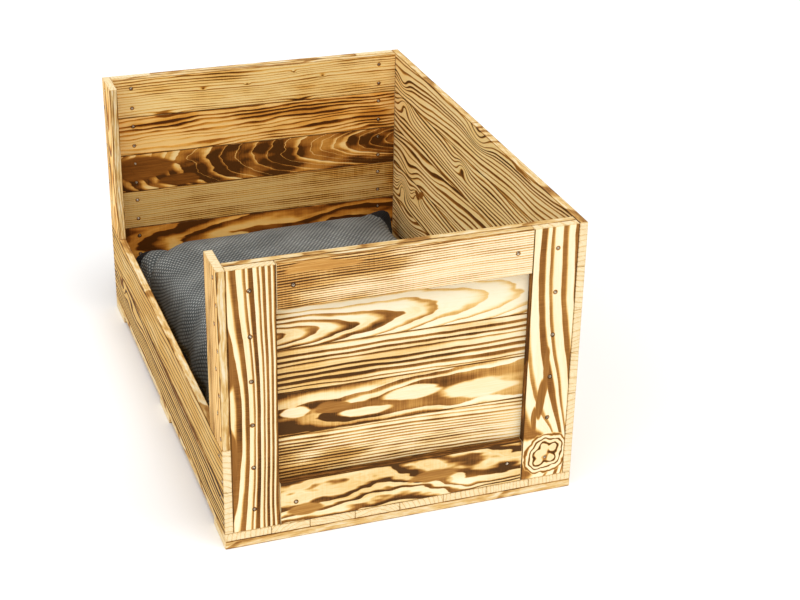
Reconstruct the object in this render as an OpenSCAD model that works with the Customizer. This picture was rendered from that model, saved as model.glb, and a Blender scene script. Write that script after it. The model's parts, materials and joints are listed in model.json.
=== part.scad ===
// Crate-style dog bed: a nailed frame of flamed softwood boards with a loose cushion.
// Millimetres, +Z up. The origin is on the ground under the middle of the frame.
// +X runs along the length, -Y is the low front that the dog steps over, +Y is the back wall.

/* [Frame] */
// Length over the two end panels
frame_l = 815; // [700:5:1000]
// Depth from the front wall to the back wall
frame_d = 545; // [500:5:620]
// Width of a board
board_w = 70; // [60:1:80]
// Thickness of a board
board_t = 13; // [10:1:16]
// Width of a full floor board, the one left over is ripped narrower
floor_board_w = 69.5; // [60:0.5:70]
// Place of the ripped floor board, counted from the front
ripped_board = 2; // [1:1:8]
// Small bevel along the long edges of a board
edge_bevel = 0.8; // [0.4:0.1:1.5]

/* [Nails] */
// Length of the nails through the floor and the end panels
short_nail_l = 24; // [20:1:26]
// Length of the nails into the edge of an end panel
long_nail_l = 38; // [30:1:45]
// Diameter of a nail's shank
nail_d = 1.8; // [1.4:0.1:2.4]
// Diameter of a nail's head
nail_head_d = 4.6; // [3.5:0.1:6]
// Distance of the nails from the long edges of a board
nail_edge = 17; // [12:1:22]
// Distance of a rail's nails from its ends
rail_nail = 24; // [15:1:35]

/* [Cushion] */
// Gap between the cushion and the walls
cushion_gap = 6; // [3:1:15]
// Height of the cushion at its middle
cushion_h = 150; // [90:1:160]
// Radius of the cushion's corners seen from above
cushion_corner_r = 62; // [40:1:100]
// Height of the seam between the top and the base of the cover
seam_h = 58; // [40:1:70]
// Thickness of the fabric cover
cover_t = 1.2; // [0.8:0.1:2]

/* [Hidden] */
wall_boards = 6;                    // stacked in the back wall and in each end panel
front_boards = 2;                   // stacked in the low front wall
floor_boards = 8;                   // laid side by side in the floor
floor_z = board_t;                  // underside of the floor, on the battens
wall_z = 2 * board_t;               // top of the floor, where the walls start
wall_h = wall_boards * board_w;
front_h = front_boards * board_w;
post_h = wall_h - front_h;
panel_t = 2 * board_t;              // an end panel is two boards thick
panel_d = frame_d - 2 * board_t;    // and stands between the front and the back wall
rail_l = panel_d - 2 * board_w;
ripped_board_w = frame_d - (floor_boards - 1) * floor_board_w;
front_y = -frame_d / 2;
back_y = frame_d / 2;
panel_y = front_y + board_t;        // front edge of an end panel
joint = 0.1;                        // hairline between neighbouring boards
head_t = 0.8;                       // thickness of a nail's head
head_proud = 0.2;                   // how far a head stands out of the wood
tip_l = 2.5;                        // length of a nail's point
cushion_z = wall_z + 0.6;           // just clear of the nail heads in the floor
cushion_l = frame_l - 2 * panel_t - 2 * cushion_gap;
cushion_d = frame_d - 2 * board_t - 2 * cushion_gap;
rim_facets = 24;

WOODS = ["BurlyWood", "Tan", "Peru", "SandyBrown"];

// Where each floor board starts, counted from the front
function floor_width(i) = i == ripped_board ? ripped_board_w : floor_board_w;
function floor_start(i) = i == 1 ? front_y : floor_start(i - 1) + floor_width(i - 1);
function stack_z(i) = wall_z + (i - 1) * board_w;
function wood(i) = WOODS[i % len(WOODS)];

// A board lying along X, from its lowest corner, with bevelled long edges
module board(l, w, t) {
    e = edge_bevel;
    w0 = joint / 2;
    w1 = w - joint / 2;
    outline = [[w0 + e, 0], [w1 - e, 0], [w1, e], [w1, t - e],
               [w1 - e, t], [w0 + e, t], [w0, t - e], [w0, e]];
    rotate([90, 0, 90])
        linear_extrude(l)
            polygon(outline);
}

// The same board on edge in a wall: along X, thickness along Y, width up Z
module board_on_edge(l, w, t) {
    translate([0, t, 0])
        rotate([90, 0, 0])
            board(l, w, t);
}

// A board of an end panel: along Y, width up Z, thickness along X
module end_board_shape(l, w, t) {
    translate([0, l, 0])
        rotate([0, 0, -90])
            board_on_edge(l, w, t);
}

// An upright board: height up Z, width along Y, thickness along X
module upright_shape(h, w, t) {
    translate([t, 0, 0])
        rotate([0, -90, 0])
            board(h, w, t);
}

// A nail driven along -Z from the surface at its origin
module nail(l) {
    translate([0, 0, head_proud - head_t])
        cylinder(d = nail_head_d, h = head_t, $fn = 24);
    translate([0, 0, tip_l - l])
        cylinder(d = nail_d, h = l - tip_l - head_t / 2, $fn = 16);
    translate([0, 0, -l])
        cylinder(d1 = 0.4, d2 = nail_d, h = tip_l, $fn = 16);
}

// A batten across the underside, centred on x
module batten(x) {
    color("BurlyWood")
        translate([x + board_w / 2, front_y, 0])
            rotate([0, 0, 90])
                board(frame_d, board_w, board_t);
}

module floor_board(i) {
    color(wood(i))
        translate([-frame_l / 2, floor_start(i), floor_z])
            board(frame_l, floor_width(i), board_t);
}

module front_board(i) {
    color(wood(i))
        translate([-frame_l / 2, front_y, stack_z(i)])
            board_on_edge(frame_l, board_w, board_t);
}

module back_board(i) {
    color(wood(i + 1))
        translate([-frame_l / 2, back_y - board_t, stack_z(i)])
            board_on_edge(frame_l, board_w, board_t);
}

// Post above the front wall, closing the front edge of an end panel.
// Here and below, side is -1 for the left end and 1 for the right end.
module front_post(side) {
    color("BurlyWood")
        translate([side * (frame_l - board_w) / 2 - board_w / 2, front_y, wall_z + front_h])
            translate([board_w, 0, 0])
                rotate([0, 0, 90])
                    upright_shape(post_h, board_w, board_t);
}

// Inner layer of an end panel
module end_board(side, i) {
    inner_x = side * (frame_l / 2 - 1.5 * board_t);
    color(wood(i + 2))
        translate([inner_x - board_t / 2, panel_y, stack_z(i)])
            end_board_shape(panel_d, board_w, board_t);
}

// Outer layer of an end panel: two stiles and two rails around a recess.
// Here and below, end is -1 for the front and 1 for the back of the panel.
module stile(side, end) {
    outer_x = side * (frame_l - board_t) / 2;
    middle_y = end * (panel_d - board_w) / 2;
    color("SandyBrown")
        translate([outer_x - board_t / 2, middle_y - board_w / 2, wall_z])
            upright_shape(wall_h, board_w, board_t);
}

module rail(side, i) {
    outer_x = side * (frame_l - board_t) / 2;
    color("Peru")
        translate([outer_x - board_t / 2, -rail_l / 2 + joint / 2, stack_z(i)])
            end_board_shape(rail_l - joint, board_w, board_t);
}

// Two nails through each floor board into each batten
module floor_nails() {
    color("DimGray")
        for (i = [1 : floor_boards], x = [-1, 0, 1], k = [-1, 1])
            translate([x * (frame_l - board_w) / 2 + k * 6,
                       floor_start(i) + floor_width(i) / 2 + k * (floor_width(i) / 2 - nail_edge),
                       wall_z])
                nail(short_nail_l);
}

// Two nails through each end of a wall board, one into each layer of the end panel
module wall_nails(facing) {
    color("DimGray")
        for (i = [1 : wall_boards], side = [-1, 1], k = [-1, 1])
            translate([side * (frame_l / 2 - board_t + k * board_t / 2),
                       facing * frame_d / 2,
                       stack_z(i) + board_w / 2 - k * (board_w / 2 - nail_edge)])
                rotate([-90 * facing, 0, 0])
                    nail(long_nail_l);
}

// The front wall's nails hold its boards and the two posts
module front_wall_nails() {
    wall_nails(-1);
}

module back_wall_nails() {
    wall_nails(1);
}

// Inner boards nailed to the stiles from the inside, and stiles and rails from the outside
module panel_nails(side) {
    color("DimGray")
        for (i = [1 : wall_boards], end = [-1, 1]) {
            nail_y = end * ((panel_d - board_w) / 2 + 3);
            middle_z = stack_z(i) + board_w / 2;
            for (k = [-1, 1])
                translate([side * (frame_l / 2 - panel_t), nail_y,
                           middle_z + k * (board_w / 2 - nail_edge)])
                    rotate([0, side * -90, 0])
                        nail(short_nail_l);
            translate([side * frame_l / 2, nail_y, middle_z])
                rotate([0, side * 90, 0])
                    nail(short_nail_l);
            if (i == 1 || i == wall_boards)
                translate([side * frame_l / 2, end * (rail_l / 2 - rail_nail), middle_z])
                    rotate([0, side * 90, 0])
                        nail(short_nail_l);
        }
}

// A crowned cushion form, smaller by skin all round
module cushion_form(skin) {
    r = cushion_corner_r;
    tuck = 14;              // how far the form draws in towards its top and its base
    belt_z = 0.15 * cushion_h;
    shoulder_z = 0.62 * cushion_h;
    rim_z = 0.74 * cushion_h;
    hull() {
        for (x = [-1, 1], y = [-1, 1])
            translate([x * (cushion_l / 2 - r), y * (cushion_d / 2 - r), cushion_z]) {
                translate([0, 0, skin])
                    cylinder(r = r - tuck - skin, h = 1, $fn = rim_facets);
                translate([0, 0, belt_z])
                    cylinder(r = r - skin, h = shoulder_z - belt_z, $fn = rim_facets);
                translate([0, 0, rim_z - 1 - skin])
                    cylinder(r = r - tuck - skin, h = 1, $fn = rim_facets);
            }
        translate([0, 0, cushion_z + cushion_h - 1 - skin])
            linear_extrude(1)
                square([0.55 * cushion_l, 0.45 * cushion_d], center = true);
    }
}

// A slab as large as the cushion, reaching from z0 to z1 above its base
module cushion_slab(z0, z1) {
    translate([-cushion_l / 2 - 1, -cushion_d / 2 - 1, cushion_z + z0])
        cube([cushion_l + 2, cushion_d + 2, z1 - z0]);
}

// The cover's shell between two heights
module cover_shell(z0, z1) {
    intersection() {
        difference() {
            cushion_form(0);
            cushion_form(cover_t);
        }
        cushion_slab(z0, z1);
    }
}

module cushion_top_cover() {
    color("DimGray")
        cover_shell(seam_h, cushion_h + 1);
}

module cushion_base_cover() {
    color("DarkSlateGray")
        cover_shell(-1, seam_h);
}

module cushion_filling() {
    color("WhiteSmoke")
        cushion_form(cover_t + 0.1);
}

batten(-(frame_l - board_w) / 2);  // batten_left
batten(0);  // batten_middle
batten((frame_l - board_w) / 2);  // batten_right
floor_board(1);  // floor_board_1
floor_board(2);  // floor_board_2
floor_board(3);  // floor_board_3
floor_board(4);  // floor_board_4
floor_board(5);  // floor_board_5
floor_board(6);  // floor_board_6
floor_board(7);  // floor_board_7
floor_board(8);  // floor_board_8
front_board(1);  // front_board_lower
front_board(2);  // front_board_upper
front_post(-1);  // front_post_left
front_post(1);  // front_post_right
back_board(1);  // back_board_1
back_board(2);  // back_board_2
back_board(3);  // back_board_3
back_board(4);  // back_board_4
back_board(5);  // back_board_5
back_board(6);  // back_board_6
end_board(-1, 1);  // left_end_board_1
end_board(-1, 2);  // left_end_board_2
end_board(-1, 3);  // left_end_board_3
end_board(-1, 4);  // left_end_board_4
end_board(-1, 5);  // left_end_board_5
end_board(-1, 6);  // left_end_board_6
stile(-1, -1);  // left_stile_front
stile(-1, 1);  // left_stile_back
rail(-1, wall_boards);  // left_rail_top
rail(-1, 1);  // left_rail_bottom
end_board(1, 1);  // right_end_board_1
end_board(1, 2);  // right_end_board_2
end_board(1, 3);  // right_end_board_3
end_board(1, 4);  // right_end_board_4
end_board(1, 5);  // right_end_board_5
end_board(1, 6);  // right_end_board_6
stile(1, -1);  // right_stile_front
stile(1, 1);  // right_stile_back
rail(1, wall_boards);  // right_rail_top
rail(1, 1);  // right_rail_bottom
floor_nails();
front_wall_nails();
back_wall_nails();
panel_nails(-1);  // left_panel_nails
panel_nails(1);  // right_panel_nails
cushion_top_cover();
cushion_base_cover();
cushion_filling();
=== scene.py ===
"""A crate-style dog bed: flamed pine boards, nails and a padded cushion.

Metres, +Z up, low front wall at -Y, and the richly grained end at +X."""
import json
import math
import random

import bmesh
import bpy
from mathutils import Matrix, Vector, noise


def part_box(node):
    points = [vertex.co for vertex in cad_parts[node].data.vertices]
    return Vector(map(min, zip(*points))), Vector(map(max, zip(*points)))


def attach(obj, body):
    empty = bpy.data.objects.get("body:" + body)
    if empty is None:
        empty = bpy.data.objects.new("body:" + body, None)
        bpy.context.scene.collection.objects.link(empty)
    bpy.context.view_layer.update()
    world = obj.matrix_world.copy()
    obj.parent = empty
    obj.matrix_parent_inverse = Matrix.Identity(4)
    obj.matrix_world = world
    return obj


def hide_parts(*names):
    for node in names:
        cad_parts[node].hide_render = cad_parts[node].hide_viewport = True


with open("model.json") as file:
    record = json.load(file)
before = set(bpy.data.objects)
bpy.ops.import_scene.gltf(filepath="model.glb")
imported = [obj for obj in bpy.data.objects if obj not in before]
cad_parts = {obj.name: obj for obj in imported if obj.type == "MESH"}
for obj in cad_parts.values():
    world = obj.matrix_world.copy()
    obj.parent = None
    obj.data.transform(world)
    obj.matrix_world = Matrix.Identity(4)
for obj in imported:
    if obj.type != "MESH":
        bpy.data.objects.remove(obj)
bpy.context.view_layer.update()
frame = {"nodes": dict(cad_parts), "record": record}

MM = 0.001


# ---------------------------------------------------------------- materials

def srgb(red, green, blue):
    """A linear colour from 0-255 display values."""
    channels = (c / 255 for c in (red, green, blue))
    return (*(c / 12.92 if c < 0.04045 else ((c + 0.055) / 1.055) ** 2.4 for c in channels), 1.0)


class Value:
    """A number inside a material. Arithmetic on it adds Math nodes."""

    def __init__(self, finish, socket):
        self.finish = finish
        self.socket = socket

    def math(self, operation, *others):
        return self.finish.node("ShaderNodeMath", {"operation": operation}, [self, *others])

    def __add__(self, other):
        return self.math("ADD", other)

    def __sub__(self, other):
        return self.math("SUBTRACT", other)

    def __mul__(self, other):
        return self.math("MULTIPLY", other)

    def __truediv__(self, other):
        return self.math("DIVIDE", other)

    def __lt__(self, other):
        return self.math("LESS_THAN", other)

    def __gt__(self, other):
        return self.math("GREATER_THAN", other)

    def __rsub__(self, other):
        return self.finish.node("ShaderNodeMath", {"operation": "SUBTRACT"}, [other, self])

    __radd__ = __add__
    __rmul__ = __mul__


class Finish:
    """A material under construction."""

    def __init__(self, name):
        self.material = bpy.data.materials.new(name)
        self.material.use_nodes = True
        self.nodes = self.material.node_tree.nodes
        self.links = self.material.node_tree.links
        self.nodes.clear()

    def node(self, kind, settings=None, inputs=(), output=0):
        """Adds a node: its settings first, then a value or a link for each socket."""
        made = self.nodes.new(kind)
        for key, setting in (settings or {}).items():
            if key == "stops":
                self.set_stops(made.color_ramp.elements, setting)
            else:
                setattr(made, key, setting)
        pairs = inputs.items() if isinstance(inputs, dict) else enumerate(inputs)
        for key, value in pairs:
            if isinstance(value, Value):
                self.links.new(value.socket, made.inputs[key])
            else:
                made.inputs[key].default_value = value
        return Value(self, made.outputs[output]) if made.outputs else None

    def set_stops(self, elements, stops):
        """Fills a colour ramp from (place, colour) pairs."""
        while len(elements) < len(stops):
            elements.new(1.0)
        for element, (place, colour) in zip(elements, stops):
            element.position = place
            element.color = colour

    def place(self):
        """The point's X, Y and Z in millimetres."""
        point = self.node("ShaderNodeTexCoord", output=3)
        split = [self.node("ShaderNodeSeparateXYZ", inputs=[point], output=i) for i in range(3)]
        return [part * 1000 for part in split]

    def along_cloth(self):
        """The point's distances in millimetres from the cushion's middle lines, along the cloth."""
        point = self.node("ShaderNodeUVMap", {"uv_map": "cloth"})
        return [self.node("ShaderNodeSeparateXYZ", inputs=[point], output=i) * 1000 for i in (0, 1)]

    def attribute(self, name):
        """A number that the mesh carries at each point."""
        return self.node("ShaderNodeAttribute", {"attribute_name": name}, output=2)

    def noise(self, x, y, z, detail=2.0, rough=0.5):
        """Smooth noise from 0 to 1, about 0.5."""
        point = self.node("ShaderNodeCombineXYZ", inputs=[x, y, z])
        inputs = {"Vector": point, "Scale": 1.0, "Detail": detail, "Roughness": rough}
        return self.node("ShaderNodeTexNoise", inputs=inputs)

    def step(self, value, low, high):
        """0 below low, 1 above high, and smooth between them."""
        settings = {"interpolation_type": "SMOOTHSTEP"}
        inputs = {"Value": value, "From Min": low, "From Max": high}
        return self.node("ShaderNodeMapRange", settings, inputs)

    def near_face(self, value, half, outer, inner):
        """1 within inner of either face, half a size from the middle, and 0 further in than outer."""
        return self.step(value.math("ABSOLUTE"), half - outer, half - inner)

    def mix(self, share, first, second, blend="MIX"):
        """The first colour at share 0, and the second, or its blend with the first, at 1."""
        settings = {"data_type": "RGBA", "blend_type": blend, "clamp_factor": True}
        return self.node("ShaderNodeMix", settings, {0: share, 6: first, 7: second}, output=2)

    def ramp(self, value, stops):
        """A colour for each value, from (place, colour) pairs."""
        return self.node("ShaderNodeValToRGB", {"stops": stops}, [value])

    def surface(self, colour, rough, height=None, relief=0.0, **constants):
        """Finishes the material with a Principled shader. Relief is the bump's depth in metres."""
        inputs = {"Base Color": colour, "Roughness": rough}
        inputs.update({key.replace("_", " "): value for key, value in constants.items()})
        if height is not None:
            bump = {"Strength": 1.0, "Distance": relief, "Height": height}
            inputs["Normal"] = self.node("ShaderNodeBump", inputs=bump)
        shader = self.node("ShaderNodeBsdfPrincipled", inputs=inputs)
        self.node("ShaderNodeOutputMaterial", inputs={"Surface": shader})
        return self.material


# The flame's tones, from raw wood to char
FLAME = [
    (0.00, srgb(252, 241, 214)),
    (0.16, srgb(248, 229, 184)),
    (0.34, srgb(235, 195, 124)),
    (0.52, srgb(200, 149, 78)),
    (0.70, srgb(160, 109, 52)),
    (0.86, srgb(128, 82, 35)),
    (1.00, srgb(82, 52, 22)),
]
END_GRAIN = [(0.0, srgb(246, 228, 188)), (0.5, srgb(226, 192, 134)), (1.0, srgb(160, 120, 70))]
PLANED_TINT = srgb(240, 241, 246)

# A knot's bend that reaches further than this along a board, in millimetres, draws no heat
WIDE_BEND = 60
# The rings round a burl: (distance out, half width, darkness), in millimetres
BURL_RINGS = ((7.6, 2.6, 0.95), (14.5, 2.1, 0.9), (22.0, 3.4, 0.75))
BURL_EDGE = 22.5
# Where the arrises' char starts and is full, in millimetres in from the edge
ARRIS_CHAR = (1.9, 0.3)


def look(**changes):
    """How one board was cut and flamed. Lengths in millimetres, from the board's middle.

    pith is where the tree's centre lies across and through the board, lean its slope along it,
    ring a year's growth, late the dark share of a year, soft the blur of its inner edge,
    drift and ripple the bends of the grain, burn the flame's strength, patch its unevenness,
    fade how much paler the board is painted along its length, as painted light (painted shade where
    negative), brown how far the early wood darkens with the late,
    hair the fine lines within a year, saw the cross marks of the saw,
    burnt how much painted shade darkens its two narrow edges, where they face into a recess,
    knots a list of (along, across, reach along, reach across, lift, dark middle),
    blots the patches that charred otherwise than the grain, and painted shade along a joint: (along, across,
    reach along, reach across, tone), burl the lobes (along, across) of a knot with rings of its own,
    tint a colour over the whole board, and seed what makes it differ from the next."""
    base = dict(pith=(-70, -30), lean=(0.01, 0.03), ring=7.0, late=0.5, soft=0.22, uneven=2.2,
                drift=16, ripple=3, burn=0.5, patch=0.5, fade=0.0, brown=0.5, hair=1.0, saw=0.3,
                burnt=(0, 0), tint=(255, 246, 228), knots=[], blots=[], burl=[], seed=0)
    base.update(changes)
    return base


def strongest(first, second):
    """The larger of two values, where the first may not be there yet."""
    return second if first is None else first.math("MAXIMUM", second)


def bent_by_knots(f, radius, x, y, knots):
    """The rings' radius bent round the knots, the heat that the knots draw, and their dark middles."""
    heat, core = None, None
    for along, across, reach_x, reach_y, lift, dark in knots:
        dx = (x - along) / reach_x
        dy = (y - across) / reach_y
        far = dx * dx + dy * dy
        swell = (far * -1).math("EXPONENT")
        radius = radius + swell * lift
        if reach_x < WIDE_BEND:
            heat = strongest(heat, swell)
        if dark:
            core = strongest(core, 1 - f.step(far, 0.004, dark))
    return radius, heat, core


def growth(f, radius, cut, heat, shift):
    """The years: turns out from the pith, each year's own chance, and its late wood, wide and thin."""
    uneven = f.noise(radius / 34 + shift, 0.5, 0.5, 1.0) * cut["uneven"]
    turns = radius / cut["ring"] + uneven
    year = turns.math("FLOOR")
    part = turns - year
    chance = f.node("ShaderNodeTexWhiteNoise", {"noise_dimensions": "1D"}, {"W": year + shift})
    late = (chance * 0.7 + 0.65) * cut["late"]
    if heat is not None:
        late = late * (1 - heat * 0.4)
    start = 1 - late
    rise = f.step(part, start - cut["soft"], start + cut["soft"])
    band = rise * (1 - f.step(part, 0.92, 1.0))
    thin = f.step(part, 0.62, 0.9) * (1 - f.step(part, 0.93, 1.0))
    return turns, chance, band, thin


def flame_on(f, x, y, z, cut, heat, shift):
    """How dark the flame left the late wood, with painted light and shade along the board."""
    flame = f.noise(x / 130 + 3 * shift, y / 48, z / 40 - shift, 2.0, 0.6)
    # painted light and shade: the last term makes the board steadily paler towards one end (darker where it
    # is negative), as if more light fell there
    char = (f.step(flame, 0.28, 0.72) - 0.5) * cut["patch"] + cut["burn"] - x * (cut["fade"] / 100)
    if heat is not None:
        char = char + heat * 0.3
    return char.math("MAXIMUM", 0.02)


def with_blots(f, tone, x, y, blots, bend, wave, fibre, thread):
    """The tone with its patches that charred otherwise than the grain, and the painted shade along a joint.
    """
    for along, across, reach_x, reach_y, depth in blots:
        dx = (x - along + wave * 40) / reach_x
        dy = (y - across + bend * 16 + wave * 16) / reach_y
        cover = 1 - f.step(dx * dx + dy * dy, 0.6, 1.1)
        tone = tone + cover * (fibre * 0.3 + thread * 0.34 + depth - tone)
    return tone


def with_burl(f, tone, x, y, lobes, wave, fibre):
    """The tone with rings that follow a knot of several lobes, over the board's own grain."""
    total = None
    for along, across in lobes:
        dx = x - along
        dy = y - across
        share = ((dx * dx + dy * dy).math("SQRT") * -0.32).math("EXPONENT")
        total = share if total is None else total + share
    gap = total.math("MAXIMUM", 1e-7).math("LOGARITHM", math.e) * -3.1 + wave * 8
    gap = gap + (f.noise(x / 15, y / 15, 7.0, 1.0) - 0.5) * 8
    blur = f.noise(x / 10, y / 10, 3.0, 1.0) * 1.7
    rings = None
    for at, wide, dark in BURL_RINGS:
        rings = strongest(rings, (1 - f.step((gap - at).math("ABSOLUTE"), 0.3, blur * wide)) * dark)
    warmth = (1 - f.step(gap, 0, 20)) * 0.12
    inside = 1 - f.step(gap, BURL_EDGE, BURL_EDGE + 3.5)
    return tone + inside * (rings + warmth + fibre * 0.16 + 0.08 - tone)


def planed_tone(y, thin, hair, thread, mottling, burnt):
    """The tone of a board's two narrow edges, which were planed before the flame, with painted shade on an
    edge that faces into a recess.
    """
    tone = thin * 0.34 + hair * 0.35 + thread * 0.5 + (mottling - 0.5) * 0.8 + 0.3
    # painted shade: the narrow edge on the low or the high side is darkened where it faces into a recess
    low_shade, high_shade = burnt
    if low_shade:
        tone = tone + (y < 0) * low_shade
    if high_shade:
        tone = tone + (y > 0) * high_shade
    return tone


def arrises(f, x, y, z, half_x, half_y, half_z):
    """1 where two of a board's faces meet."""
    near_x, near_y, near_z = [f.near_face(place, half, *ARRIS_CHAR)
                              for place, half in ((x, half_x), (y, half_y), (z, half_z))]
    return strongest(strongest(near_x * near_y, near_y * near_z), near_x * near_z)


def flamed_pine(name, long_axis, wide_axis, low, high, cut):
    """Pine with its growth rings in three dimensions, flamed and brushed."""
    f = Finish(name)
    deep_axis = 3 - long_axis - wide_axis
    centre = (low + high) / 2 / MM
    half = (high - low) / 2 / MM
    place = f.place()
    x, y, z = [place[axis] - centre[axis] for axis in (long_axis, wide_axis, deep_axis)]
    half_x, half_y, half_z = [half[axis] for axis in (long_axis, wide_axis, deep_axis)]
    shift = cut["seed"] * 7.31

    # the tree: how far each point lies from the pith, bent by drift, ripple and knots
    bend = f.noise(x / 230 + shift, y / 80, z / 80, 1.0) - 0.5
    wave = f.noise(x / 62 - shift, y / 20, z / 20 + shift, 2.0) - 0.5
    off_y = y - cut["pith"][0] - x * cut["lean"][0]
    off_z = z - cut["pith"][1] - x * cut["lean"][1]
    radius = (off_y * off_y + off_z * off_z).math("SQRT")
    radius = radius + bend * (2 * cut["drift"]) + wave * (2 * cut["ripple"])
    radius, heat, core = bent_by_knots(f, radius, x, y, cut["knots"])
    turns, chance, band, thin = growth(f, radius, cut, heat, shift)

    # the fine marks: lines within a year, fibres, threads of grain, and the saw's
    hair = f.noise(x / 120, turns * 5.0, shift, 2.0, 0.7) - 0.5
    fibre = f.noise(x / 38, y / 0.8, z / 0.8 + shift, 3.0, 0.65) - 0.5
    thread = f.noise(x / 75 + shift, y / 2.6, z / 2.6, 2.0, 0.6) - 0.5
    saw = f.noise(x / 1.5 + shift, y / 60, z / 60, 2.0, 0.6) - 0.5

    # the flame darkened the late wood, and browned the early wood where it was strongest
    char = flame_on(f, x, y, z, cut, heat, shift)
    scorch = f.step(char, 0.5, 1.1)
    tone = band * (char * 0.72 + 0.14) * (chance * 0.3 + 0.8) + scorch * cut["brown"]
    threads = fibre * 0.14 + thread * 0.12 + hair * (char * 0.22 + 0.05) * cut["hair"]
    tone = tone + threads + saw * (tone + 0.1) * cut["saw"]
    tone = tone + f.step(f.attribute("nail_mark"), 0.2, 0.55) * 0.75
    if core is not None:
        tone = tone.math("MAXIMUM", core)
    tone = with_blots(f, tone, x, y, cut["blots"], bend, wave, fibre, thread)
    if cut["burl"]:
        tone = with_burl(f, tone, x, y, cut["burl"], wave, fibre)

    # the planed narrow edges stay paler, and the arrises char most
    edge = f.near_face(y, half_y, 1.0, 0.5)
    mottling = f.noise(x / 28, y / 9, z / 5 + shift, 3.0, 0.65)
    tone = tone + edge * (planed_tone(y, thin, hair, thread, mottling, cut["burnt"]) - tone)
    arris = arrises(f, x, y, z, half_x, half_y, half_z)
    tone = tone + arris * (mottling * 0.7 + 0.15)
    wood = f.ramp(tone, FLAME)
    wood = f.mix(1 - edge, wood, srgb(*cut["tint"]), "MULTIPLY")
    wood = f.mix(edge, wood, PLANED_TINT, "MULTIPLY")

    # the sawn ends
    end = f.near_face(x, half_x, 1.3, 0.9)
    scratch = f.noise(y / 0.7 + z / 1.1, z / 9, y / 9, 2.0) - 0.5
    sawn = f.ramp(thin * 0.34 + scratch * 0.8 + (mottling - 0.5) * 0.5 + arris * 0.3 + 0.15, END_GRAIN)
    colour = f.mix(end, wood, sawn)
    height = band * 0.55 + fibre * 0.9 + scratch * end * 0.6 + saw * 0.15
    return f.surface(colour, 0.75 - band * 0.12 + fibre * 0.1, height, 0.4 * MM, Specular_IOR_Level=0.08)


# ---------------------------------------------------------------- nails

HEAD_R = 2.3 * MM
SHANK_R = 0.9 * MM
DOME = 0.35 * MM
POINT_LENGTH = 3 * MM
# How far a head lies below the wood's face
SUNK = 0.45 * MM
# The end of a CAD nail that is wider than this is its head
WIDEST_SHANK = 3 * MM


def islands(node):
    """The separate solids of a CAD node, each as a list of points."""
    bm = bmesh.new()
    bm.from_mesh(frame["nodes"][node].data)
    bmesh.ops.remove_doubles(bm, verts=bm.verts, dist=1e-6)
    found, seen = [], set()
    for start in bm.verts:
        if start not in seen:
            group = connected(start)
            seen.update(group)
            found.append([vert.co.copy() for vert in group])
    bm.free()
    return found


def connected(start):
    """Every vertex joined to start."""
    seen, waiting = {start}, [start]
    while waiting:
        for edge in waiting.pop().link_edges:
            for vert in edge.verts:
                if vert not in seen:
                    seen.add(vert)
                    waiting.append(vert)
    return list(seen)


def nail_line(points):
    """(middle of the head's outer face, middle of the point) of one nail."""
    low = Vector([min(p[i] for p in points) for i in range(3)])
    high = Vector([max(p[i] for p in points) for i in range(3)])
    axis = max(range(3), key=lambda i: high[i] - low[i])
    across = (axis + 1) % 3
    middle = (low + high) / 2
    near_high = [p for p in points if high[axis] - p[axis] < MM]
    width = max(p[across] for p in near_high) - min(p[across] for p in near_high)
    head, tip = middle.copy(), middle.copy()
    head_is_high = width > WIDEST_SHANK
    head[axis] = high[axis] if head_is_high else low[axis]
    tip[axis] = low[axis] if head_is_high else high[axis]
    return head, tip


NAIL_GROUPS = ["floor_nails", "front_wall_nails", "back_wall_nails", "left_panel_nails", "right_panel_nails"]
# The middle of the head and of the point of every nail in each group
NAILS = {group: [nail_line(points) for points in islands(group)] for group in NAIL_GROUPS}


def nail_steel():
    """Steel with rust and soot on it, and near-white patches painted on as glints."""
    f = Finish("nail_steel")
    x, y, z = f.place()
    mottling = f.noise(x / 2.2, y / 2.2, z / 2.2, 3.0)
    # painted highlights: where the noise is high the ramp turns near white, standing in for glints on the
    # heads; its dark end is rust and soot
    colour = f.ramp(mottling, [(0.3, srgb(66, 48, 34)), (0.5, srgb(140, 118, 92)), (0.68, srgb(246, 234, 208))])
    return f.surface(colour, 0.3 + mottling * 0.3, mottling, 0.1 * MM, Metallic=0.55)


def make_nails(group, material):
    """Nails with a slightly domed head, a shank and a point, turned from one profile."""
    bm = bmesh.new()
    for head, tip in NAILS[group]:
        foot = SUNK - (tip - head).length
        outline = [(0, DOME), (0.6 * HEAD_R, 0.8 * DOME), (0.95 * HEAD_R, 0.2 * DOME), (HEAD_R, -0.3 * MM),
                   (0.9 * HEAD_R, -0.6 * MM), (SHANK_R, -1.2 * MM), (SHANK_R, foot + POINT_LENGTH),
                   (0.15 * MM, foot)]
        turn = Vector((0, 0, 1)).rotation_difference(head - tip).to_matrix().to_4x4()
        stand = Matrix.Translation(head + (tip - head).normalized() * SUNK) @ turn
        verts = [bm.verts.new((r, 0, h)) for r, h in outline]
        edges = [bm.edges.new(pair) for pair in zip(verts, verts[1:])]
        bmesh.ops.spin(bm, geom=verts + edges, cent=(0, 0, 0), axis=(0, 0, 1),
                       angle=math.tau, steps=12, use_merge=True)
        bmesh.ops.transform(bm, matrix=stand, verts=connected(verts[0]))
    bmesh.ops.remove_doubles(bm, verts=bm.verts, dist=0.01 * MM)
    close_and_face_out(bm)
    name = group.replace("_nails", "_nail_set")
    return finished_piece(bm, name, material, "frame", [group])


def close_and_face_out(bm):
    """Fills what is still open, and points every face outwards."""
    open_edges = [e for e in bm.edges if e.is_boundary]
    if open_edges:
        bmesh.ops.holes_fill(bm, edges=open_edges)
    bmesh.ops.recalc_face_normals(bm, faces=bm.faces)


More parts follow.
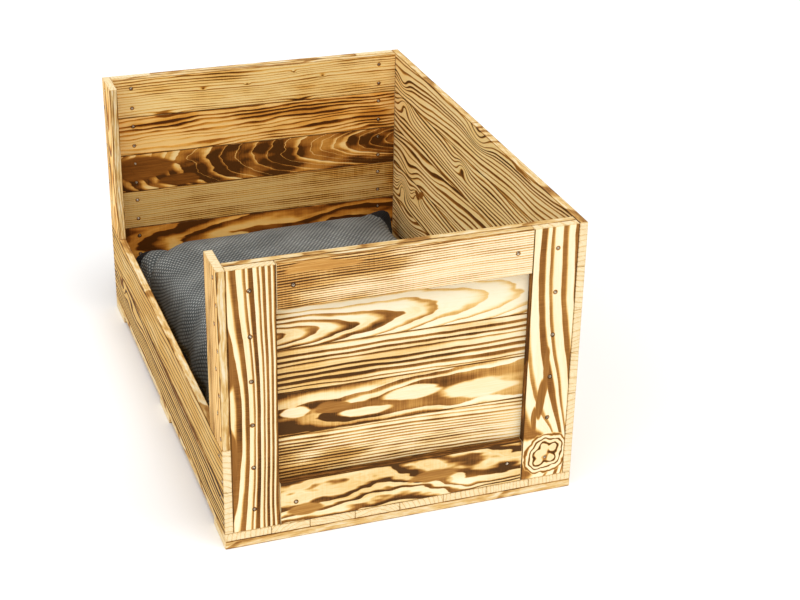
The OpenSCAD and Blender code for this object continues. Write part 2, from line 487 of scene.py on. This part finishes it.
def finished_piece(bm, name, material, body, stands_for, smooth=True):
    """Turns a bmesh into a piece of the object that rides on a body."""
    mesh = bpy.data.meshes.new(name)
    if smooth:
        for face in bm.faces:
            face.smooth = True
    bm.to_mesh(mesh)
    bm.free()
    piece = bpy.data.objects.new(name, mesh)
    bpy.context.scene.collection.objects.link(piece)
    mesh.materials.append(material)
    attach(piece, body)
    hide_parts(*stands_for)
    return piece


# ---------------------------------------------------------------- boards

HEADS = [head for group in NAIL_GROUPS for head, tip in NAILS[group]]
# A board's mesh: its cells, the finer rings of cells round a nail, and the shortest edge cut again
CELL = 14 * MM
FINER_WITHIN = (11 * MM, 8 * MM, 6.5 * MM)
SHORTEST_CUT = 1.2 * MM
EASED = 1.1 * MM
DENT_R = 5.8 * MM
DENT_DEEP = 0.55 * MM
# Only the eased edges have faces as small as this, in square metres, away from the nails
SMALL_FACE = 9e-6


def axes_of(low, high):
    """(long, wide) axes of a board."""
    order = sorted(range(3), key=lambda i: high[i] - low[i])
    return order[2], order[1]


def board_mesh(low, high, seed):
    """A sawn board with eased edges, a slightly uneven face and a dent round each nail."""
    size = high - low
    long_axis, wide_axis = axes_of(low, high)
    bm = bmesh.new()
    bmesh.ops.create_cube(bm, size=1)
    bmesh.ops.scale(bm, vec=size, verts=bm.verts)
    bmesh.ops.translate(bm, vec=(low + high) / 2, verts=bm.verts)
    bmesh.ops.bevel(bm, geom=bm.edges[:], offset=EASED, segments=3, profile=0.5, affect="EDGES", material=-1)
    for axis in (long_axis, wide_axis):
        cuts = max(2, round(size[axis] / CELL))
        for i in range(1, cuts):
            cut = low.copy()
            cut[axis] += size[axis] * i / cuts
            normal = Vector([float(a == axis) for a in range(3)])
            geom = bm.verts[:] + bm.edges[:] + bm.faces[:]
            bmesh.ops.bisect_plane(bm, geom=geom, plane_co=cut, plane_no=normal, dist=1e-7)
    near = nails_on(low, high)
    for reach in FINER_WITHIN:
        edges = [e for e in bm.edges if e.calc_length() > SHORTEST_CUT and close_to_any(e, near, reach)]
        if edges:
            bmesh.ops.subdivide_edges(bm, edges=edges, cuts=1, use_grid_fill=True)
    mark = bm.verts.layers.float.new("nail_mark")
    for vert in bm.verts:
        vert[mark] = dent(vert, near)
        roughen(vert, low, high, seed)
    bm.normal_update()
    for face in bm.faces:
        face.smooth = face.calc_area() < SMALL_FACE or any(v[mark] > 0 for v in face.verts)
    return bm


def nails_on(low, high):
    """The nail heads that lie on a board's surface."""
    return [head for head in HEADS
            if all(low[i] - MM <= head[i] <= high[i] + MM for i in range(3))]


def close_to_any(edge, points, reach):
    """Whether an edge's middle is within reach of one of the points."""
    middle = (edge.verts[0].co + edge.verts[1].co) / 2
    return any((middle - p).length < reach for p in points)


def dent(vert, heads):
    """Sinks the wood round a nail, and returns how much of the nail's dark ring falls here."""
    stain = 0.0
    for head in heads:
        gap = (vert.co - head).length
        if gap < DENT_R:
            share = (1 - (gap / DENT_R) ** 2) ** 2
            vert.co -= vert.normal * DENT_DEEP * share
            stain = max(stain, share)
    return stain


def roughen(vert, low, high, seed):
    """Draws the surface in by up to a third of a millimetre, and more on a chipped edge."""
    point = vert.co
    wander = noise.noise(Vector((point.x * 16, point.y * 16, point.z * 16 + seed * 3.7)))
    chip = noise.noise(Vector((point.x * 90, point.y * 90, point.z * 90 - seed * 5.1)))
    on_edge = sum(min(point[i] - low[i], high[i] - point[i]) < 1.3 * MM for i in range(3)) >= 2
    deep = (0.16 + 0.16 * wander + (0.22 * max(0.0, chip) if on_edge else 0.0)) * MM
    vert.co -= vert.normal * deep


def make_board(node, cut):
    """The finished board that stands for a CAD board."""
    low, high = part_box(node)
    long_axis, wide_axis = axes_of(low, high)
    bm = board_mesh(low, high, cut["seed"])
    material = flamed_pine("pine_" + node, long_axis, wide_axis, low, high, cut)
    return finished_piece(bm, node + "_wood", material, "frame", [node], smooth=False)


CREAM = (255, 252, 246)
GOLD = (255, 232, 186)
AMBER = (255, 220, 158)

CUTS = {
    # right end, outside
    # the stiles and the bottom rail carry painted shade on the narrow edges that face into the recess
    "right_stile_front": look(
        pith=(-52, -80), lean=(0.0, 0.0), ring=5.0, late=0.56, soft=0.16, uneven=1.2, drift=3,
        ripple=0.8, burn=0.84, patch=0.2, brown=0.2, tint=CREAM, burnt=(0, 0.4), seed=11,
        knots=[(-20, -16, 140, 46, -7, 0)],
        blots=[(70, -35, 52, 9, 0.76), (-78, -35, 50, 9, 0.78)]),
    "right_stile_back": look(
        pith=(110, -30), lean=(0.02, 0.0), ring=19, late=0.5, soft=0.14, uneven=0.6, drift=8,
        ripple=2, burn=0.78, patch=0.2, brown=0.12, tint=CREAM, burnt=(0.6, 0), seed=12,
        knots=[(-165, 5, 170, 70, 44, 0), (-165, 5, 46, 30, 30, 0)],
        blots=[(-30, -4, 50, 5, 0.72), (-72, -9, 34, 7, 0.76), (-106, -17, 26, 5, 0.72),
               (-160, 5, 3.4, 3.4, 0.98)],
        burl=[(-180, -7), (-167, -8), (-177, 12), (-160, 15), (-157, 2)]),
    # painted light and shade: the rails and boards of this end are painted steadily paler towards +Y and
    # darker towards -Y by the stile
    "right_rail_top": look(
        pith=(-190, 30), lean=(0.012, 0.0), ring=3.6, late=0.42, drift=5, ripple=1, burn=0.64,
        patch=0.5, fade=0.21, tint=(255, 246, 236), saw=0.5, seed=13,
        blots=[(-120, 22, 60, 9, 0.5)]),
    "right_rail_bottom": look(
        pith=(30, -60), lean=(0.04, 0.06), ring=8, late=0.44, soft=0.16, drift=24, ripple=8,
        burn=0.88, patch=0.4, fade=0.02, brown=0.3, tint=(250, 250, 246), burnt=(0, 0.6), seed=14,
        blots=[(50, 4, 42, 8, 0.66), (-150, -16, 30, 9, 0.6)]),
    "right_end_board_5": look(
        pith=(-4, -22), lean=(0.05, -0.12), ring=7.5, late=0.38, soft=0.2, drift=10, ripple=4,
        burn=0.62, patch=0.5, fade=0.08, brown=0.3, tint=CREAM, seed=15),
    "right_end_board_4": look(
        pith=(-120, -10), lean=(0.0, 0.0), ring=9.4, late=0.46, soft=0.16, drift=7, ripple=2.5,
        burn=0.84, patch=0.4, fade=0.08, brown=0.35, tint=CREAM, seed=16),
    "right_end_board_3": look(
        pith=(-4, -22), lean=(0.0, 0.04), ring=17, late=0.54, soft=0.2, drift=26, ripple=6,
        burn=0.7, patch=0.4, fade=0.14, saw=0.6, tint=CREAM, seed=17,
        blots=[(15, 3, 50, 11, 0.1), (-60, -16, 46, 8, 0.1), (-160, 4, 22, 11, 0.12),
               (120, -6, 66, 15, 0.12), (-104, 2, 30, 14, 0.7)]),
    "right_end_board_2": look(
        pith=(-140, 0), lean=(-0.02, 0.0), ring=5.2, late=0.44, drift=6, ripple=1, burn=0.64,
        patch=0.6, fade=0.12, tint=(255, 250, 238), seed=18),
    # left end, inside
    "left_end_board_6": look(
        pith=(-150, 30), ring=4.6, late=0.34, uneven=4, drift=8, ripple=2.2, burn=0.54, patch=0.6,
        tint=(255, 232, 180), seed=21,
        knots=[(-100, 5, 6, 3, 4, 0.3), (-20, 6, 6, 3, 4, 0.3), (66, 20, 6, 3, 4, 0.3),
               (120, 8, 6, 3, 4, 0.3), (-171, -36, 30, 6, 6, 0.9), (78, -35, 24, 5, 5, 0.9)]),
    "left_end_board_5": look(
        pith=(-80, -36), ring=6, late=0.42, uneven=4, drift=10, ripple=4, burn=0.6, patch=0.8,
        tint=AMBER, seed=22,
        blots=[(-155, 31, 34, 5, 0.86), (94, 33, 28, 4, 0.9), (-40, 33, 60, 2.5, 0.7)]),
    "left_end_board_4": look(
        pith=(12, -60), lean=(0.0, 0.19), ring=5.0, late=0.86, soft=0.3, uneven=3.6, drift=5,
        ripple=3, burn=0.82, patch=0.7, tint=GOLD, saw=0.4, seed=23,
        blots=[(-215, 8, 60, 24, 0.84), (-150, -22, 44, 12, 0.9)]),
    # painted shade: this board is painted steadily darker towards +Y
    "left_end_board_3": look(
        pith=(-170, 20), ring=4, late=0.36, drift=4, ripple=0.8, burn=0.54, patch=0.6, fade=-0.06,
        tint=(218, 190, 136), saw=1.0, seed=24),
    "left_end_board_2": look(
        pith=(0, -16), lean=(0.0, 0.1), ring=20, late=0.6, soft=0.26, drift=34, ripple=8, burn=0.95,
        patch=0.5, tint=AMBER, seed=25),
}

# The back wall's boards: even stripes that bend round a few knots
STRIPED = dict(ring=8.2, late=0.42, soft=0.14, uneven=3.4, drift=15, ripple=1.5, burn=0.84, patch=0.2,
               brown=0.2, tint=(255, 240, 204))
BACK_KNOTS = [
    [(-300, 10, 44, 20, 16, 0)],
    [(-290, 26, 60, 30, 24, 0), (210, 4, 60, 16, 12, 0)],
    [(-332, 1, 22, 20, 34, 0), (-258, 14, 24, 14, 20, 0)],
    [(-300, -24, 40, 26, 20, 0), (-180, 14, 70, 18, 12, 0)],
    [(-328, 27, 34, 22, 20, 0), (-44, 13, 26, 14, 20, 0), (200, -10, 80, 16, 10, 0)],
    [(20, 27, 44, 26, 24, 0), (-340, -8, 30, 18, 12, 0)],
]
BACK_BLOTS = {3: [(-255, 16, 16, 9, 0.85), (-236, 24, 10, 7, 0.8)], 6: [(180, 30, 60, 3, 0.7)]}

# The front wall's boards: wide rings, and long thin blots along the joint between them that are painted
# shade
FRONT_TINT = (232, 222, 196)
CUTS["front_board_upper"] = look(
    pith=(-84, -16), lean=(0.03, 0.0), ring=11, late=0.26, soft=0.1, uneven=0.8, drift=14, ripple=2.2,
    burn=1.0, patch=0.3, brown=0.36, hair=0.3, saw=0.1, tint=FRONT_TINT, seed=61,
    # painted shade: the two long thin blots along the lower edge darken the joint with the board below
    blots=[(120, -34, 260, 3.4, 0.86), (-250, -33, 90, 4, 0.8)])
CUTS["front_board_lower"] = look(
    pith=(-96, -12), lean=(-0.03, 0.0), ring=9, late=0.46, soft=0.1, uneven=1.0, drift=16, ripple=3.0,
    burn=1.15, patch=0.3, brown=0.3, hair=0.4, saw=0.1, tint=FRONT_TINT, seed=62,
    knots=[(-330, 14, 26, 14, 20, 0), (-230, 4, 60, 16, 12, 0)],
    # painted shade: the first, long thin blot along the upper edge darkens the joint with the board above
    blots=[(60, 33, 300, 4, 0.8), (-340, 20, 16, 8, 0.8)])
for number, knots in enumerate(BACK_KNOTS, start=1):
    # neighbours are turned end for end
    side = -1 if number % 2 else 1
    CUTS[f"back_board_{number}"] = look(
        pith=(-side * (95 + 8 * number), 12), lean=(side * 0.04, 0), knots=knots,
        blots=BACK_BLOTS.get(number, []), seed=40 + number, **STRIPED)


def ordinary_cut(node):
    """A board with nothing special about it, different for each name."""
    draw = random.Random("pine " + node)
    flat = draw.random() < 0.3
    side = draw.choice((-1, 1))
    if flat:
        pith = (draw.uniform(-20, 20), draw.uniform(-60, -40))
    else:
        pith = (side * draw.uniform(80, 140), draw.uniform(-30, 30))
    lean = (draw.uniform(-0.03, 0.03), draw.uniform(0.02, 0.05) if flat else 0.0)
    return look(pith=pith, lean=lean, ring=draw.uniform(5.0, 7.0), late=draw.uniform(0.44, 0.54),
                drift=draw.uniform(8, 16), ripple=draw.uniform(2, 4), burn=draw.uniform(0.58, 0.72),
                patch=0.4, tint=GOLD, seed=draw.randint(30, 90))


# ---------------------------------------------------------------- cushion

CUSHION_LOW, CUSHION_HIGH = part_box("cushion_base_cover")[0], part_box("cushion_top_cover")[1]
# Half the length and half the width of each flat sheet of the cover, a little inside the walls
WALL_GAP = 2 * MM
SHEET = ((CUSHION_HIGH.x - CUSHION_LOW.x) / 2 - WALL_GAP, (CUSHION_HIGH.y - CUSHION_LOW.y) / 2 - WALL_GAP)
CUSHION_CELL = 7 * MM
CORNER_R = 34 * MM
# Heights: the seam over the floor, the top's rise at the sides, and the crown's on top of that
SEAM_Z = 50 * MM
SIDE_RISE = 62 * MM
CROWN_RISE = 30 * MM
# The filling's lumps, and the wrinkles near the rim
LUMPS = 7 * MM
WRINKLES = 16 * MM
# The share by which the short and the long sides pull in between the corners, and how unevenly
SHORT_PULL, LONG_PULL = 0.018, 0.042
RAGGED = 0.035
# Where each corner's ear is pushed up by the walls: (side along X, side along Y, lift)
EARS = [(-1, 1, 70 * MM), (-1, -1, 36 * MM), (1, -1, 16 * MM), (1, 1, 30 * MM)]
EAR_REACH = 85 * MM
# The fold across the left front corner: its ends, its groove, and the drop of the lobe outside it
FOLD_FROM, FOLD_TO = Vector((-0.352, -0.150)), Vector((-0.275, -0.240))
GROOVE_DEEP, GROOVE_HALF = 20 * MM, 11 * MM
LOBE_DROP, LOBE_BLUR = 12 * MM, 9 * MM
# The simulation's length, and the furthest that it may move a point
SWELL_FRAMES = 22
SWELL_CAP = 14 * MM
CLOTH_THICKNESS = 1.2 * MM


def fold_depth(x, y):
    """How far the fold at the corner draws the top down."""
    along = (FOLD_TO - FOLD_FROM).normalized()
    gap = Vector((x, y)) - FOLD_FROM
    wander = 5 * MM * noise.noise(Vector((x * 14, y * 14, 4.0)))
    over = gap.x * along.y - gap.y * along.x + wander
    run = gap.dot(along) / (FOLD_TO - FOLD_FROM).length
    ends = max(0.0, 1 - max(0.0, abs(run - 0.5) - 0.45) / 0.5)
    groove = GROOVE_DEEP * math.exp(-((over / GROOVE_HALF) ** 2))
    lobe = LOBE_DROP / (1 + math.exp(-over / LOBE_BLUR))
    return (groove + lobe) * ends if gap.length < 0.3 else 0.0


def stuffed_form(u, v, side):
    """Where a point of the flat cover goes on the stuffed cushion.

    u and v run from -1 to 1 between opposite rims, and side is 1 on top, -1 below."""
    flat = rounded((u * SHEET[0], v * SHEET[1]))
    drawn_u = 1 - SHORT_PULL * (1 - v * v) * abs(u) ** 3
    ragged = RAGGED * noise.noise(Vector((flat[0] * 17, math.copysign(3.0, v), 8.0)))
    drawn_v = 1 - (LONG_PULL + ragged) * (1 - u * u) * abs(v) ** 3
    blunt = math.sqrt(max(0.0, 1 - abs(u) ** 12) * max(0.0, 1 - abs(v) ** 8))
    crown = (max(0.0, 1 - u * u) * max(0.0, 1 - v * v)) ** 0.7
    seam = SEAM_Z
    for side_u, side_v, lift in EARS:
        reach = math.hypot(flat[0] - side_u * SHEET[0], flat[1] - side_v * SHEET[1]) / EAR_REACH
        seam += lift * max(0.0, 1 - reach) ** 1.3
    lump = LUMPS * noise.noise(Vector((flat[0] * 6, flat[1] * 6, 1.5)))
    slack = max(abs(u), abs(v)) ** 5
    lump += slack * WRINKLES * (abs(noise.noise(Vector((flat[0] * 17, flat[1] * 8, 5.5)))) - 0.2)
    if side > 0:
        rise = SIDE_RISE * blunt + CROWN_RISE * crown + lump * blunt
        rise -= (seam - SEAM_Z) * 0.6 * blunt + min(rise, fold_depth(*flat))
    else:
        rise = -seam * min(1.0, 1.3 * blunt)
    return Vector((flat[0] * drawn_u, flat[1] * drawn_v, CUSHION_LOW.z + seam + rise))


def rounded(flat):
    """Pulls the corners of the flat sheet onto a quarter circle."""
    inner = (SHEET[0] - CORNER_R, SHEET[1] - CORNER_R)
    over = [abs(flat[i]) - inner[i] for i in (0, 1)]
    if min(over) <= 0:
        return flat
    square = max(over)
    length = math.hypot(*over)
    return tuple(math.copysign(inner[i] + over[i] * square / length, flat[i]) for i in (0, 1))


def cover_sheets():
    """Two flat sheets joined at their rims and laid on the stuffed form, with their flat coordinates."""
    bm = bmesh.new()
    across = [round(2 * half / CUSHION_CELL) for half in SHEET]
    layers = bm.verts.layers
    flat_x, flat_y = layers.float.new("flat_x"), layers.float.new("flat_y")
    across_u, across_v = layers.float.new("across_u"), layers.float.new("across_v")
    row, column = layers.int.new("row"), layers.int.new("column")
    bmesh.ops.create_grid(bm, x_segments=across[0], y_segments=across[1], size=1)
    for vert in bm.verts:
        vert[row], vert[column] = (round((vert.co[i] + 1) * across[i] / 2) for i in (0, 1))
        vert[across_u], vert[across_v] = vert.co.xy
        vert[flat_x], vert[flat_y] = rounded((vert.co.x * SHEET[0], vert.co.y * SHEET[1]))
    top = bm.faces[:]
    copied = bmesh.ops.duplicate(bm, geom=bm.verts[:] + bm.edges[:] + top)["geom"]
    base = [part for part in copied if isinstance(part, bmesh.types.BMFace)]
    bmesh.ops.reverse_faces(bm, faces=base)
    for faces, side in ((top, 1), (base, -1)):
        for face in faces:
            face.material_index = 0 if side > 0 else 1
            for vert in face.verts:
                vert.co = stuffed_form(vert[across_u], vert[across_v], side)
    rim = [vert for vert in bm.verts if vert.is_boundary]
    bmesh.ops.remove_doubles(bm, verts=rim, dist=0.5 * MM)
    bmesh.ops.recalc_face_normals(bm, faces=bm.faces)
    return bm


def swell(bm):
    """Blows the slack cover up with Blender's cloth, and brings the result back into bm."""
    mesh = bpy.data.meshes.new("swelling")
    bm.to_mesh(mesh)
    cover = bpy.data.objects.new("swelling", mesh)
    bpy.context.scene.collection.objects.link(cover)
    cloth = cover.modifiers.new("cloth", "CLOTH").settings
    cloth.quality = 5
    cloth.mass = 0.25
    cloth.tension_stiffness = cloth.compression_stiffness = 12
    cloth.shear_stiffness = 4
    cloth.bending_stiffness = 0.4
    cloth.shrink_min = -0.05
    cloth.use_pressure = True
    cloth.uniform_pressure_force = 2.5
    cloth.effector_weights.gravity = 0
    for step in range(1, SWELL_FRAMES + 1):
        bpy.context.scene.frame_set(step)
    settled = cover.evaluated_get(bpy.context.evaluated_depsgraph_get()).to_mesh()
    bm.verts.ensure_lookup_table()
    for vert, point in zip(bm.verts, settled.vertices):
        move = point.co - vert.co
        if move.length > SWELL_CAP:
            move.length = SWELL_CAP
        vert.co += move
    bpy.context.scene.frame_set(1)
    bpy.data.objects.remove(cover)
    bpy.data.meshes.remove(mesh)


def inside_bed(point):
    """Keeps a point of the cushion off the floor and the walls."""
    x = min(max(point.x, CUSHION_LOW.x), CUSHION_HIGH.x)
    y = min(max(point.y, CUSHION_LOW.y), CUSHION_HIGH.y)
    return Vector((x, y, max(point.z, CUSHION_LOW.z)))


def lay_out(bm):
    """Gives each point its distance from the cushion's middle lines, measured along the cloth."""
    row, column = bm.verts.layers.int["row"], bm.verts.layers.int["column"]
    cloth = bm.loops.layers.uv.new("cloth")
    for side in (0, 1):
        faces = [face for face in bm.faces if face.material_index == side]
        grid = {(vert[row], vert[column]): vert.co for face in faces for vert in face.verts}
        along_x = run_along(grid, 0)
        along_y = run_along(grid, 1)
        for face in faces:
            for loop in face.loops:
                key = (loop.vert[row], loop.vert[column])
                loop[cloth].uv = (along_x[key], along_y[key])


def run_along(grid, way):
    """The length of cloth from the middle of each line of the grid to each of its points."""
    lines = {}
    for key in grid:
        lines.setdefault(key[1 - way], []).append(key)
    run = {}
    for keys in lines.values():
        keys.sort()
        total = 0.0
        run[keys[0]] = 0.0
        for last, key in zip(keys, keys[1:]):
            total += (grid[key] - grid[last]).length
            run[key] = total
        middle = run[keys[len(keys) // 2]]
        for key in keys:
            run[key] -= middle
    return run


def make_cushion():
    """The cushion's grey top and its black base, which share one rim."""
    bm = cover_sheets()
    swell(bm)
    for vert in bm.verts:
        vert.co = inside_bed(vert.co)
    lay_out(bm)
    parts = ((0, "cushion_top", waffle_cloth(), "waffle_fabric", ["cushion_top_cover", "cushion_filling"]),
             (1, "cushion_base", base_cloth(), "base_fabric", ["cushion_base_cover"]))
    for index, name, material, slot, stands_for in parts:
        part = bm.copy()
        others = [face for face in part.faces if face.material_index != index]
        bmesh.ops.delete(part, geom=others, context="FACES")
        for face in part.faces:
            face.material_index = 0
        piece = finished_piece(part, name, material, "cushion", stands_for)
        smooth = piece.modifiers.new("smooth", "SUBSURF")
        smooth.levels = smooth.render_levels = 1
        cloth = piece.modifiers.new("cloth thickness", "SOLIDIFY")
        cloth.thickness = CLOTH_THICKNESS
        cloth.offset = -1
    bm.free()


# The grey cloth's dashes, in millimetres: from row to row, and from dash to dash in a row
ROW_STEP, DASH_STEP = 5.4, 7.0
# The grey top's corners that are painted near black: (side along X, side along Y, reach in millimetres)
BLACK_CORNERS = ((-1, 1, 66), (-1, -1, 52))
# The black cloth's threads, in millimetres from one to the next
THREAD_STEP = 1.1


def waffle_cloth():
    """Grey cloth with short raised dashes, each row half a step over from the last."""
    f = Finish("waffle_cloth")
    x, y = f.along_cloth()
    px, py, pz = f.place()
    row = x / ROW_STEP
    odd = row.math("FLOOR").math("MODULO", 2).math("ABSOLUTE")
    place = y / DASH_STEP + odd * 0.5
    dx = row.math("FRACT") - 0.5
    dy = place.math("FRACT") - 0.5
    far = (dx * dx) * 7.0 + (dy * dy) * 6.0
    dash = 1 - f.step(far, 0.25, 1.0)
    yarn = f.noise(x / 0.9, y / 0.9, 0.0, 2.0)
    wear = f.noise(px / 60, py / 60, pz / 60, 3.0)
    tone = dash * 0.5 + (yarn - 0.5) * 0.5 + (wear - 0.5) * 0.5 + 0.2
    colour = f.ramp(tone, [(0.0, srgb(50, 53, 54)), (0.4, srgb(107, 110, 108)), (0.8, srgb(169, 171, 166)),
                           (1.0, srgb(213, 214, 208))])
    height = dash + yarn * 0.35
    corners = None
    for side_x, side_y, reach in BLACK_CORNERS:
        dx = f.attribute("flat_x") * 1000 - side_x * (SHEET[0] / MM)
        dy = f.attribute("flat_y") * 1000 - side_y * (SHEET[1] / MM)
        black = 1 - f.step((dx * dx + dy * dy).math("SQRT"), reach - 1, reach + 1)
        corners = strongest(corners, black)
    colour = f.mix(corners, colour, srgb(14, 14, 16))
    return f.surface(colour, 0.9 - dash * 0.1, height, 1.2 * MM, Sheen_Weight=0.04, Specular_IOR_Level=0.15)


def base_cloth():
    """Plain black cloth of fine crossing threads."""
    f = Finish("base_cloth")
    x, y = f.along_cloth()
    warp = (x * (math.tau / THREAD_STEP)).math("SINE")
    weft = (y * (math.tau / THREAD_STEP)).math("SINE")
    weave = warp * weft * 0.5 + 0.5
    fuzz = f.noise(x / 25, y / 25, 0.0, 3.0)
    colour = f.mix(weave * 0.5 + fuzz * 0.5, srgb(16, 17, 19), srgb(44, 45, 48))
    return f.surface(colour, 0.88 - weave * 0.1, weave, 0.4 * MM, Specular_IOR_Level=0.15)


# ---------------------------------------------------------------- camera, light and floor

def make_camera():
    """Three-quarter view over the right end, on a long lens."""
    data = bpy.data.cameras.new("camera")
    data.lens = 74.97
    data.sensor_width = 36
    camera = bpy.data.objects.new("camera", data)
    heading = Matrix.Rotation(math.radians(69.944), 4, "Z")
    tilt = Matrix.Rotation(math.radians(63.278), 4, "X")
    roll = Matrix.Rotation(math.radians(1.087), 4, "Z")
    camera.matrix_world = Matrix.Translation((2.3568, -0.7231, 1.4094)) @ heading @ tilt @ roll
    bpy.context.scene.collection.objects.link(camera)
    bpy.context.scene.camera = camera


# Each wide soft sun: (name, the way to it, strength, spread in degrees)
SUNS = (("key", (0.42, 0.1, 0.9), 1.9, 40), ("fill", (0.3, -0.8, 0.5), 1.0, 60))
# Half the floor's side, in metres
FLOOR_HALF = 12


def make_studio():
    """A white room with two wide soft suns, and a pale floor."""
    world = bpy.data.worlds.new("studio")
    world.use_nodes = True
    background = world.node_tree.nodes["Background"]
    background.inputs["Color"].default_value = (1, 1, 1, 1)
    background.inputs["Strength"].default_value = 0.55
    bpy.context.scene.world = world
    bpy.context.scene.view_settings.view_transform = "Standard"
    for name, toward, strength, spread in SUNS:
        data = bpy.data.lights.new(name, "SUN")
        data.energy = strength
        data.angle = math.radians(spread)
        light = bpy.data.objects.new(name, data)
        light.matrix_world = Vector(toward).to_track_quat("Z", "Y").to_matrix().to_4x4()
        bpy.context.scene.collection.objects.link(light)
    make_floor()


def make_floor():
    """A plain pale floor, well past the view."""
    bm = bmesh.new()
    bmesh.ops.create_grid(bm, x_segments=1, y_segments=1, size=FLOOR_HALF)
    mesh = bpy.data.meshes.new("floor")
    bm.to_mesh(mesh)
    bm.free()
    floor = bpy.data.objects.new("floor", mesh)
    bpy.context.scene.collection.objects.link(floor)
    f = Finish("floor_paint")
    x, y = f.place()[:2]
    mottle = f.noise(x / 400, y / 400, 0.0)
    colour = f.mix(mottle, (0.93, 0.93, 0.93, 1), (0.96, 0.96, 0.955, 1))
    mesh.materials.append(f.surface(colour, 0.75))


make_camera()
make_studio()

steel = nail_steel()
for group in NAIL_GROUPS:
    make_nails(group, steel)

for node in frame["record"]["behaviour"]["bodies"]["frame"]:
    if node not in NAIL_GROUPS:
        make_board(node, CUTS.get(node) or ordinary_cut(node))

make_cushion()
